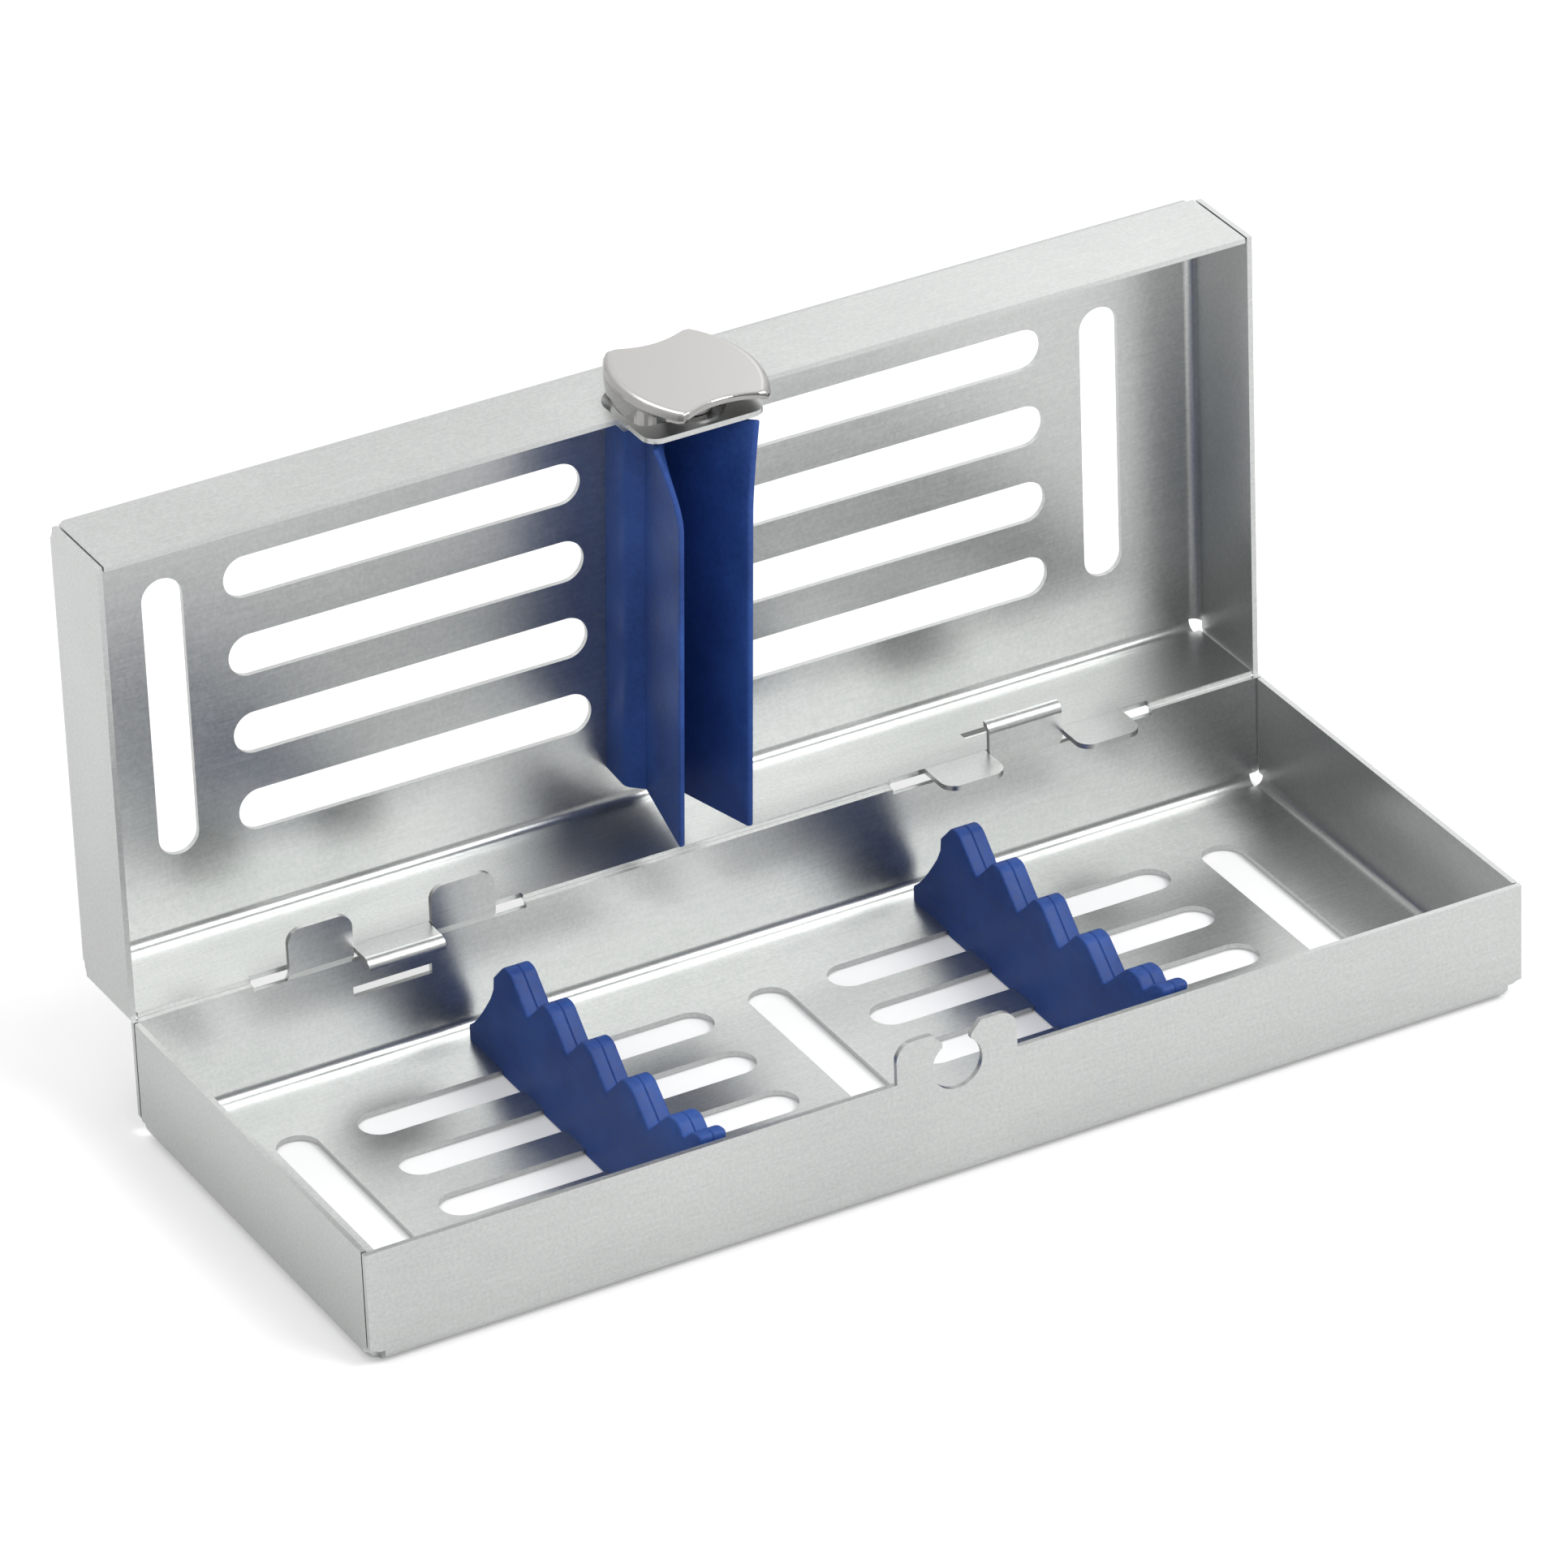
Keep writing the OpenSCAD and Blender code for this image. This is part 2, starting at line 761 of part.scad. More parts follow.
module lid_holder() {
    stations = concat(
        [holder_start, curl_start],
        [for (i = [1 : curl_steps]) curl_start + i * fin_curl_len / curl_steps]);
    count = len(section(holder_start));
    end = (len(stations) - 1) * count;
    // Places of the fins' outer and inner points in a section, and of their mirror images
    function outer(i) = 2 + i;
    function inner(i) = 3 + 2 * fin_steps - i;
    function twin(i) = count - 1 - i;
    // The lid's panel, seen from the hinge line
    panel_z = rim_gap + lid_height - sheet;
    color("royalblue")
        on_lid()
            translate([0, 0, panel_z]) {
                polyhedron(
                    points = [for (v = stations) each lift_section(v)],
                    faces = concat(
                        [[for (i = [count - 1 : -1 : 0]) i]],
                        [for (k = [0 : len(stations) - 2], i = [0 : count - 1])
                            let (a = k * count + i, b = k * count + (i + 1) % count)
                                each [[a, b, a + count], [b, b + count, a + count]]],
                        [[for (i = [0, 1, outer(0), inner(0)]) end + i,
                          for (i = [inner(0), outer(0), 1, 0]) end + twin(i)]],
                        [for (i = [0 : fin_steps - 1]) each [
                            [end + outer(i), end + outer(i + 1), end + inner(i)],
                            [end + outer(i + 1), end + inner(i + 1), end + inner(i)],
                            [end + twin(inner(i)), end + twin(outer(i + 1)), end + twin(outer(i))],
                            [end + twin(inner(i)), end + twin(inner(i + 1)), end + twin(outer(i + 1))]]]));
                translate([plug_shift - plug_width / 2, (cross_width - cross_len - case_depth) / 2, 0])
                    cube([plug_width, cross_len - cross_width, sheet]);
            }
}

tray_shell();
lid_shell();
rack_left();
rack_right();
lid_holder();
latch_knob();
latch_spindle();
latch_spring_washer();
latch_retaining_washer();
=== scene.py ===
import math

import bpy
from mathutils import Matrix, Vector


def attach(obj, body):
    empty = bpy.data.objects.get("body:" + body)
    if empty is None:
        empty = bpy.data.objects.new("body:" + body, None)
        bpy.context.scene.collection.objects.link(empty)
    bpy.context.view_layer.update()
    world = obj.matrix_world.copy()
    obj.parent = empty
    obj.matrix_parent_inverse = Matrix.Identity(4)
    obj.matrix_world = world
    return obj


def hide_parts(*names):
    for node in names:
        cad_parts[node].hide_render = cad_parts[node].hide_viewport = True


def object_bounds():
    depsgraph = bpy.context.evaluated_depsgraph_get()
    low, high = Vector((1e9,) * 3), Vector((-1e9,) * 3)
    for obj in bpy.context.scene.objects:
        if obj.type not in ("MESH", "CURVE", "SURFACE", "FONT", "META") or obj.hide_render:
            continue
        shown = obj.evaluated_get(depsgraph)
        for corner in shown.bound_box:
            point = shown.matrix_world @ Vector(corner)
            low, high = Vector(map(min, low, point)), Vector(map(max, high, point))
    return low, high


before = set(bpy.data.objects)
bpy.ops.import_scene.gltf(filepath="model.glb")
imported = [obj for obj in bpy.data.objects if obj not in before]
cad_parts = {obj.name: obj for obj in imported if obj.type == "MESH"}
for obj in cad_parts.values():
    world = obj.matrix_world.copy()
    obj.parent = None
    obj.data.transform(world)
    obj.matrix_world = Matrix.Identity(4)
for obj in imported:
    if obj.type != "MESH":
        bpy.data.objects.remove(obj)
cad_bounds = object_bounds()
MM = 0.001

# Places nearer than this, in millimetres, count as one place
TINY = 0.01
# Points nearer than this, in millimetres, are merged in a finished piece
MERGE = 0.002
# Faces that differ by less than this, in degrees, count as one flat face
FLAT_ANGLE = 0.2
# Edges that turn by less than this, in degrees, are shaded smooth
SMOOTH_ANGLE = 35

# Sizes of the case in millimetres, as in the part's source
SHEET = 0.8
CASE_DEPTH = 70.5
TRAY_HEIGHT = 17.7
LID_HEIGHT = 16.5
RIM_GAP = 0.1
HINGE_Y = CASE_DEPTH - (CASE_DEPTH + RIM_GAP + LID_HEIGHT) / 2
FRONT_Y = HINGE_Y - CASE_DEPTH

# Slots that the mouldings are pressed into
SLOT_ROWS = 4
ROW_WIDTH = 6.4
ROW_PITCH = 12.2
CROSS_LEN = 43.3
CROSS_WIDTH = 6.2
PLUG_GAP = 0.15


# Modelling by hand, in millimetres

def begin(name, low, high):
    """A block between two corners, open in edit mode with nothing selected."""
    bpy.ops.object.select_all(action="DESELECT")
    low, high = Vector(low) * MM, Vector(high) * MM
    bpy.ops.mesh.primitive_cube_add(size=1, location=(low + high) / 2, scale=high - low)
    piece = bpy.context.object
    piece.name = name
    piece.data.name = name
    bpy.ops.object.transform_apply(location=True, rotation=True, scale=True)
    bpy.ops.object.mode_set(mode="EDIT")
    bpy.ops.mesh.select_all(action="DESELECT")
    return piece


def pick(piece, mode, wanted):
    """Selects the vertices, edges or faces whose list of points is wanted."""
    bpy.ops.object.mode_set(mode="EDIT")
    bpy.ops.mesh.select_mode(type=mode)
    bpy.ops.mesh.select_all(action="DESELECT")
    bpy.ops.object.mode_set(mode="OBJECT")
    mesh = piece.data
    parts = {"VERT": mesh.vertices, "EDGE": mesh.edges, "FACE": mesh.polygons}[mode]
    for part in parts:
        corners = [part.index] if mode == "VERT" else part.vertices
        part.select = wanted([mesh.vertices[i].co / MM for i in corners])
    bpy.ops.object.mode_set(mode="EDIT")


def near(value, target):
    return abs(value - target) < TINY


def cut(place, normal):
    """Cuts the whole piece across at a place."""
    bpy.ops.mesh.select_all(action="SELECT")
    bpy.ops.mesh.bisect(plane_co=Vector(place) * MM, plane_no=normal)
    bpy.ops.mesh.select_all(action="DESELECT")


def draw_out(x, y, z):
    """Extrudes what is selected by a move."""
    bpy.ops.mesh.extrude_region_move(TRANSFORM_OT_translate={"value": (x * MM, y * MM, z * MM)})


def narrow(share, middle=0):
    """Scales what is selected along X, about a place on X."""
    bpy.ops.transform.resize(value=(share, 1, 1), center_override=(middle * MM, 0, 0))


def round_edges(size, segments):
    bpy.ops.mesh.bevel(offset=size * MM, segments=segments, affect="EDGES")


def tidy_flats():
    """Takes out the cuts that lie in a flat face."""
    bpy.ops.mesh.select_all(action="SELECT")
    bpy.ops.mesh.dissolve_limited(angle_limit=math.radians(FLAT_ANGLE))
    bpy.ops.mesh.select_all(action="DESELECT")


def finish_piece(piece, body, nodes, material):
    """Closes the edit, smooths the rounded edges and hangs the piece on its body."""
    bpy.ops.object.mode_set(mode="EDIT")
    bpy.ops.mesh.select_all(action="SELECT")
    bpy.ops.mesh.remove_doubles(threshold=MERGE * MM)
    bpy.ops.mesh.normals_make_consistent(inside=False)
    bpy.ops.object.mode_set(mode="OBJECT")
    bpy.ops.object.select_all(action="DESELECT")
    piece.select_set(True)
    bpy.context.view_layer.objects.active = piece
    bpy.ops.object.shade_smooth_by_angle(angle=math.radians(SMOOTH_ANGLE))
    piece.data.materials.clear()
    piece.data.materials.append(material)
    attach(piece, body)
    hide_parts(*nodes)


# Material helpers

# The part of its range that a noise texture mostly covers
NOISE_SPREAD = (0.3, 0.7)
# Depth of the bumps in a finish
BUMP_DEPTH = 0.05 * MM


def new_material(name):
    material = bpy.data.materials.new(name)
    material.use_nodes = True
    nodes = material.node_tree.nodes
    return material, nodes, material.node_tree.links, nodes["Principled BSDF"]


def noise(nodes, links, scale, stretch=(1, 1, 1), detail=3.0, roughness=0.5):
    """A noise on the piece's own coordinates, finer along X, Y and Z by the stretch."""
    place = nodes.new("ShaderNodeTexCoord")
    mapping = nodes.new("ShaderNodeMapping")
    mapping.inputs["Scale"].default_value = stretch
    links.new(place.outputs["Object"], mapping.inputs["Vector"])
    texture = nodes.new("ShaderNodeTexNoise")
    texture.inputs["Scale"].default_value = scale
    texture.inputs["Detail"].default_value = detail
    texture.inputs["Roughness"].default_value = roughness
    links.new(mapping.outputs["Vector"], texture.inputs["Vector"])
    return texture.outputs["Fac"]


def toned(nodes, links, value, spread, dark, light):
    """A colour that runs from dark to light over a spread of the value."""
    node = nodes.new("ShaderNodeValToRGB")
    for stop, place, colour in zip(node.color_ramp.elements, spread, (dark, light)):
        stop.position = place
        stop.color = (*colour, 1)
    links.new(value, node.inputs["Fac"])
    return node.outputs["Color"]


def mapped(nodes, links, value, spread, levels, curve="LINEAR"):
    """A number that runs from one level to another over a spread of the value."""
    node = nodes.new("ShaderNodeMapRange")
    node.interpolation_type = curve
    node.inputs["From Min"].default_value, node.inputs["From Max"].default_value = spread
    node.inputs["To Min"].default_value, node.inputs["To Max"].default_value = levels
    links.new(value, node.inputs["Value"])
    return node.outputs["Result"]


def blend_values(nodes, links, first, second, share):
    node = nodes.new("ShaderNodeMix")
    node.data_type = "FLOAT"
    node.inputs["Factor"].default_value = share
    links.new(first, node.inputs["A"])
    links.new(second, node.inputs["B"])
    return node.outputs["Result"]


def bumped(nodes, links, shader, height, strength):
    bump = nodes.new("ShaderNodeBump")
    bump.inputs["Strength"].default_value = strength
    bump.inputs["Distance"].default_value = BUMP_DEPTH
    links.new(height, bump.inputs["Height"])
    links.new(bump.outputs["Normal"], shader.inputs["Normal"])


# Finishes

GRAIN_STRETCH = (45, 1500, 1500)
SPECKLE_STRETCH = (2000, 2000, 2000)
SPECKLE_SHARE = 0.5
CLOUD_STRETCH = (26, 30, 30)
CLOUD_SHARE = 0.2
STEEL_SPREAD = (0.36, 0.64)


def brushed_steel(name, dark, light, roughness, grain):
    """Rolled sheet: fine grain along the case, a finer speckle, and faint cloudy patches."""
    material, nodes, links, shader = new_material(name)
    shader.inputs["Metallic"].default_value = 1.0
    lines = noise(nodes, links, scale=3.0, stretch=GRAIN_STRETCH, detail=5.0, roughness=0.65)
    speckle = noise(nodes, links, scale=1.0, stretch=SPECKLE_STRETCH, detail=2.0)
    cloud = noise(nodes, links, scale=1.3, stretch=CLOUD_STRETCH, detail=2.0)
    grained = blend_values(nodes, links, lines, speckle, SPECKLE_SHARE)
    tone = blend_values(nodes, links, grained, cloud, CLOUD_SHARE)
    links.new(toned(nodes, links, tone, STEEL_SPREAD, dark, light), shader.inputs["Base Color"])
    links.new(mapped(nodes, links, grained, NOISE_SPREAD, roughness), shader.inputs["Roughness"])
    bumped(nodes, links, shader, grained, grain)
    return material


# The knob's roughness changes, and the painted dark reflection on its rolled edge gives way to
# the lighter top, between these distances below the opened case's top, in millimetres
KNOB_EDGE_FALL = 0.35
KNOB_TOP_FALL = 0.02
KNOB_GRAIN_STRETCH = (60, 1500, 1500)
KNOB_GRAIN_SHARE = 0.12
KNOB_SPREAD = (0.04, 0.94)
KNOB_ROUGHNESS = (0.08, 0.24)


def polished_knob_painted_edge(name, painted_reflection_tone, top_tone):
    """Satin top that turns into a polished rolled edge; the edge's darker colour is a painted
    dark reflection.
    """
    material, nodes, links, shader = new_material(name)
    shader.inputs["Metallic"].default_value = 1.0
    place = nodes.new("ShaderNodeTexCoord")
    split = nodes.new("ShaderNodeSeparateXYZ")
    links.new(place.outputs["Object"], split.inputs["Vector"])
    case_top = cad_bounds[1][2]
    rolled_edge = (case_top - KNOB_EDGE_FALL * MM, case_top - KNOB_TOP_FALL * MM)
    # Painted dark reflection: the colour runs from the dark side tone on the rolled edge up to
    # the top tone
    painted_reflection_mask = mapped(nodes, links, split.outputs["Z"], rolled_edge, (0, 1), "SMOOTHSTEP")
    grain = noise(nodes, links, scale=2.0, stretch=KNOB_GRAIN_STRETCH, detail=4.0, roughness=0.6)
    tone = blend_values(nodes, links, painted_reflection_mask, grain, KNOB_GRAIN_SHARE)
    links.new(toned(nodes, links, tone, KNOB_SPREAD, painted_reflection_tone, top_tone),
              shader.inputs["Base Color"])
    links.new(mapped(nodes, links, tone, (0, 1), KNOB_ROUGHNESS), shader.inputs["Roughness"])
    return material


SPECK_SHARE = 0.4
SILICONE_SPREAD = (0.35, 0.65)
SILICONE_ROUGHNESS = (0.42, 0.55)
SILICONE_SHINE = 0.25
SILICONE_GRAIN = 0.25


def moulded_silicone(name, dark, light):
    """Soft matt blue, a little mottled, with the faint grain of its mould."""
    material, nodes, links, shader = new_material(name)
    speck = noise(nodes, links, scale=1300.0, roughness=0.6)
    cloud = noise(nodes, links, scale=90.0)
    mottle = blend_values(nodes, links, cloud, speck, SPECK_SHARE)
    links.new(toned(nodes, links, mottle, SILICONE_SPREAD, dark, light),
              shader.inputs["Base Color"])
    links.new(mapped(nodes, links, speck, NOISE_SPREAD, SILICONE_ROUGHNESS),
              shader.inputs["Roughness"])
    shader.inputs["Specular IOR Level"].default_value = SILICONE_SHINE
    bumped(nodes, links, shader, speck, SILICONE_GRAIN)
    return material


sheet_steel = brushed_steel("sheet_steel", dark=(0.515, 0.53, 0.522), light=(0.655, 0.663, 0.655),
                            roughness=(0.28, 0.36), grain=0.14)
# The knob's side tone is a painted dark reflection on its rolled edge, darker than the top's own
# steel tone
knob_steel = polished_knob_painted_edge("knob_steel", painted_reflection_tone=(0.37, 0.363, 0.352),
                           top_tone=(0.55, 0.54, 0.527))
fitting_steel = brushed_steel("fitting_steel", dark=(0.5, 0.5, 0.5), light=(0.62, 0.62, 0.62),
                              roughness=(0.2, 0.3), grain=0.1)
silicone = moulded_silicone("silicone", dark=(0.017, 0.049, 0.205), light=(0.031, 0.088, 0.33))

for node, material in {
    "tray_shell": sheet_steel,
    "lid_shell": sheet_steel,
    "latch_knob": knob_steel,
    "latch_spindle": fitting_steel,
    "latch_spring_washer": fitting_steel,
    "latch_retaining_washer": fitting_steel,
}.items():
    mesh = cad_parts[node].data
    mesh.materials.clear()
    mesh.materials.append(material)


# Toothed racks, with distances back from the tray's front face

RACK_WIDTH = 4
RACK_HEIGHT = 17.6
RACK_LOW = SHEET
RACK_TOP = RACK_LOW + RACK_HEIGHT
RACK_FRONT_GAP = 0.6
RACK_BACK_GAP = 3
RACK_FRONT = SHEET + RACK_FRONT_GAP
RACK_BACK = CASE_DEPTH - SHEET - RACK_BACK_GAP
RACK_TEETH = 5
RACK_PITCH = 11.5
TIP_WIDTH = 2
FRONT_RUN = 6.5
FIRST_TOOTH = RACK_FRONT + FRONT_RUN
LAST_TOOTH = FIRST_TOOTH + (RACK_TEETH - 1) * RACK_PITCH

# Chamfer that clears the inside of the tray's bend
RACK_FOOT = 0.95

# The hollowed back, as shares of the run behind the last tooth and of the height
LIP_RUN_SHARE = 0.27
LIP_TOP_BACK = 0.01
LIP_LOW_BACK = 0.03
LIP_TOP_SHARE = 0.81
LIP_LOW_SHARE = 0.7
HEEL_SHARE = 0.13
HOLLOW_POWER = 1.25
HOLLOW_STEPS = 6

# Rounded edges, and the groove where the two halves of the mould meet
TIP_ROUND = 0.75
VALLEY_ROUND = 0.45
RACK_EDGE_ROUND = 0.3
GROOVE_HALF = 0.16
GROOVE_DEPTH = 0.14

# The lean starts this many teeth behind the first one, and grows to the front and upwards
LEAN_TEETH = 1.5
LEAN_END = FIRST_TOOTH + LEAN_TEETH * RACK_PITCH
LEAN_POWER = 2
LEAN_RISE_POWER = 1.3
LEAN_CUTS = 12
LEAN_SPACING = 2.3
LEAN_LAYERS = 6


def rack_profile():
    """Height of the rack above the floor at each place back from the tray's front face."""
    half_tip = TIP_WIDTH / 2
    fall = RACK_PITCH / 2 - half_tip
    front_fall = (FIRST_TOOTH - RACK_FRONT - (TIP_WIDTH + half_tip)) / 2
    stations = [(RACK_FRONT, RACK_HEIGHT), (RACK_FRONT + TIP_WIDTH, RACK_HEIGHT),
                (FIRST_TOOTH - half_tip - front_fall, RACK_HEIGHT - front_fall)]
    for tooth in range(RACK_TEETH):
        place = FIRST_TOOTH + tooth * RACK_PITCH
        stations += [(place - half_tip, RACK_HEIGHT), (place + half_tip, RACK_HEIGHT)]
        if tooth < RACK_TEETH - 1:
            stations.append((place + half_tip + fall, RACK_HEIGHT - fall))
    run = RACK_BACK - LAST_TOOTH - half_tip
    lip = LAST_TOOTH + half_tip + LIP_RUN_SHARE * run
    low, heel = LIP_LOW_SHARE * RACK_HEIGHT, HEEL_SHARE * RACK_HEIGHT
    stations += [(lip + LIP_TOP_BACK * run, LIP_TOP_SHARE * RACK_HEIGHT),
                 (lip + LIP_LOW_BACK * run, low)]
    for step in range(HOLLOW_STEPS - 1, -1, -1):
        share = step / HOLLOW_STEPS
        stations.append((RACK_BACK - share * (RACK_BACK - lip),
                         heel + share ** HOLLOW_POWER * (low - heel)))
    return stations


def across_rack(c, places, low):
    """True for an edge straight across a rack, at one of the places and above a height."""
    return (all(p.z > low for p in c) and near(c[0].y, c[1].y)
            and abs(c[0].x - c[1].x) > RACK_WIDTH - TINY
            and any(near(c[0].y - FRONT_Y, place) for place in places))


def outline_edge(c):
    """True for an edge on the outline of a rack's side face, above the floor."""
    upright = near(c[0].y, c[1].y)
    if upright and any(near(c[0].y, FRONT_Y + end) for end in (RACK_FRONT, RACK_BACK)):
        return max(p.z for p in c) > RACK_LOW + TINY
    return not upright and min(p.z for p in c) > RACK_LOW + TINY


def lean_front(rack, lean):
    """Bends the rack's free front end aside, by the lean at its front tip."""
    for vertex in rack.data.vertices:
        share = max(0, (LEAN_END - (vertex.co.y / MM - FRONT_Y)) / (LEAN_END - RACK_FRONT))
        rise = max(0, (vertex.co.z / MM - RACK_LOW) / RACK_HEIGHT)
        vertex.co.x += lean * share ** LEAN_POWER * rise ** LEAN_RISE_POWER * MM


def mould_rack(node, middle, lean, material):
    """A rack pressed into the floor's slots; its free front end leans aside against the wall."""
    left, right = middle - RACK_WIDTH / 2, middle + RACK_WIDTH / 2
    rack = begin(node + "_moulding", (left, FRONT_Y + RACK_FRONT, RACK_LOW),
                 (right, FRONT_Y + RACK_BACK, RACK_TOP))
    profile = rack_profile()
    for place, _ in profile[1:-1]:
        cut((middle, FRONT_Y + place, 0), (0, 1, 0))
    for place, height in profile:
        pick(rack, "VERT", lambda c: near(c[0].y - FRONT_Y, place) and near(c[0].z, RACK_TOP))
        bpy.ops.transform.translate(value=(0, 0, (height - RACK_HEIGHT) * MM))

    # The front foot clears the bend of the tray's floor
    pick(rack, "EDGE", lambda c: all(near(p.y - FRONT_Y, RACK_FRONT) and near(p.z, RACK_LOW)
                                     for p in c))
    round_edges(RACK_FOOT, segments=1)

    # Plugs below the floor, one in each row of slots
    middle_y = FRONT_Y + CASE_DEPTH / 2
    half = ROW_WIDTH / 2 - PLUG_GAP
    plugs = [middle_y + (row - (SLOT_ROWS - 1) / 2) * ROW_PITCH for row in range(SLOT_ROWS)]
    for plug in plugs:
        for side in (-half, half):
            cut((middle, plug + side, 0), (0, 1, 0))
    pick(rack, "FACE", lambda c: all(near(p.z, RACK_LOW) for p in c)
         and any(all(abs(p.y - plug) < half + TINY for p in c) for plug in plugs))
    draw_out(0, 0, -SHEET)

    # Rounded tips, then softer valleys
    tidy_flats()
    tips = [place for place, height in profile if near(height, RACK_HEIGHT)]
    valleys = [place for place, height in profile
               if place < LAST_TOOTH and height < RACK_HEIGHT - TINY]
    pick(rack, "EDGE", lambda c: across_rack(c, tips, RACK_TOP - TINY))
    round_edges(TIP_ROUND, segments=4)
    pick(rack, "EDGE", lambda c: across_rack(c, valleys, RACK_LOW + RACK_HEIGHT / 2))
    round_edges(VALLEY_ROUND, segments=3)

    # The groove of the mould runs over the middle of the rack
    cut((middle, 0, 0), (1, 0, 0))
    pick(rack, "EDGE", lambda c: all(near(p.x, middle) for p in c)
         and max(p.z for p in c) > RACK_LOW + TINY)
    round_edges(GROOVE_HALF, segments=2)
    pick(rack, "VERT", lambda c: near(c[0].x, middle) and c[0].z > RACK_LOW + TINY)
    bpy.ops.transform.shrink_fatten(value=-GROOVE_DEPTH * MM)

    # Rounded long edges on both sides
    pick(rack, "EDGE", lambda c: all(near(abs(p.x - middle), RACK_WIDTH / 2) for p in c)
         and outline_edge(c))
    round_edges(RACK_EDGE_ROUND, segments=3)

    # Cuts along and up the rack, so that the lean is a smooth curve
    for count in range(1, LEAN_CUTS + 1):
        cut((0, FRONT_Y + RACK_FRONT + LEAN_SPACING * count, 0), (0, 1, 0))
    for count in range(1, LEAN_LAYERS):
        cut((0, 0, RACK_LOW + count * RACK_HEIGHT / LEAN_LAYERS), (0, 0, 1))
    bpy.ops.object.mode_set(mode="OBJECT")
    lean_front(rack, lean)
    finish_piece(rack, "tray", [node], material)


LEFT_RACK_PLACE = 38.7
LEFT_RACK_LEAN = 2.0
RIGHT_RACK_PLACE = 32.3
RIGHT_RACK_LEAN = 3.0

mould_rack("rack_left", -LEFT_RACK_PLACE, LEFT_RACK_LEAN, silicone)
mould_rack("rack_right", RIGHT_RACK_PLACE, RIGHT_RACK_LEAN, silicone)


# Finned holder, with depths out from the lid's panel

HOLDER_START = 6.7
HOLDER_END_GAP = 3
HOLDER_LOW = TRAY_HEIGHT + HOLDER_START
HOLDER_HIGH = TRAY_HEIGHT + (CASE_DEPTH - SHEET - HOLDER_END_GAP)
HOLDER_DEPTH = 25.1
HOLDER_SHIFT = -2.15
HOLDER_TILT = 0.043
PANEL_Y = HINGE_Y + RIM_GAP + LID_HEIGHT - SHEET
BASE_WIDTH = 8.8
BASE_DEPTH = 6.1
BASE_DRAFT = 0.4
ROOT_WIDTH = 4.4
ROOT_RISE = 2.2
ROOT_DEPTH = BASE_DEPTH + ROOT_RISE
ROOT_Y = PANEL_Y - ROOT_DEPTH
PLUG_SHIFT = -1.2
PLUG_WIDTH = 3.4

# The two fins, drawn out in steps
FIN_ROOT_WALL = 1.3
FIN_TIP_WALL = 0.9
FIN_LEAN = math.radians(12.4)
FIN_INSIDE = ROOT_WIDTH / 2 - FIN_ROOT_WALL
FIN_STEPS = 5
FIN_STEP = (HOLDER_DEPTH - ROOT_DEPTH) / FIN_STEPS

# The curl at the end nearest the latch
CURL_LEN = 11
CURL_START = HOLDER_HIGH - CURL_LEN
CURL_OUT = 2.6
CURL_DROP = 2.9
CURL_REACH = 1.3
CURL_POWER = 1.6
CURL_STEPS = 9

# Rounded edges, and how near an end face's edge is to the fins' tips or to the valley
FIN_TIP_ROUND = 0.36
SHOULDER_ROUND = 0.8
END_ROUND = 0.25
END_REACH = 1


def draw_fin(holder, side):
    """A fin drawn out of the shoulder, thinner and further out at each step."""
    pick(holder, "FACE", lambda c: all(p.y < ROOT_Y + TINY and side * p.x > FIN_INSIDE - TINY
                                       for p in c))
    thick = FIN_ROOT_WALL
    middle = ROOT_WIDTH / 2 - FIN_ROOT_WALL / 2
    for count in range(FIN_STEPS):
        thinner = FIN_ROOT_WALL + (count + 1) / FIN_STEPS * (FIN_TIP_WALL - FIN_ROOT_WALL)
        out = FIN_STEP * math.tan(FIN_LEAN) + (thick - thinner) / 2
        draw_out(side * out, -FIN_STEP, 0)
        middle += out
        narrow(thinner / thick, side * middle)
        thick = thinner


def end_edge(c):
    """True for an edge round the holder's end face, and not one that crosses it."""
    on_panel = all(p.y > PANEL_Y - TINY for p in c)
    level = near(c[0].y, c[1].y) and not near(c[0].x, c[1].x)
    at_tips = c[0].y < PANEL_Y - HOLDER_DEPTH + END_REACH
    in_valley = all(abs(p.x) < END_REACH for p in c)
    return not on_panel and (not level or at_tips or in_valley)


def curl_fins(holder):
    """Curls the fins outwards, then shifts the holder to its place and tilts all but its plug."""
    centre = (HOLDER_LOW + HOLDER_HIGH) / 2
    for vertex in holder.data.vertices:
        place = vertex.co / MM
        depth = PANEL_Y - place.y
        share = max(0, (depth - ROOT_DEPTH) / (HOLDER_DEPTH - ROOT_DEPTH))
        curl = (max(0, place.z - CURL_START) / CURL_LEN) ** CURL_POWER
        side = 1 if place.x > 0 else -1
        place.x += side * CURL_OUT * share ** 2 * curl
        place.y += CURL_DROP * share * curl
        place.z += CURL_REACH * share ** 2 * curl
        if depth > -TINY:
            place.x += HOLDER_SHIFT + HOLDER_TILT * (place.z - centre)
        else:
            place.x += HOLDER_SHIFT
        vertex.co = place * MM


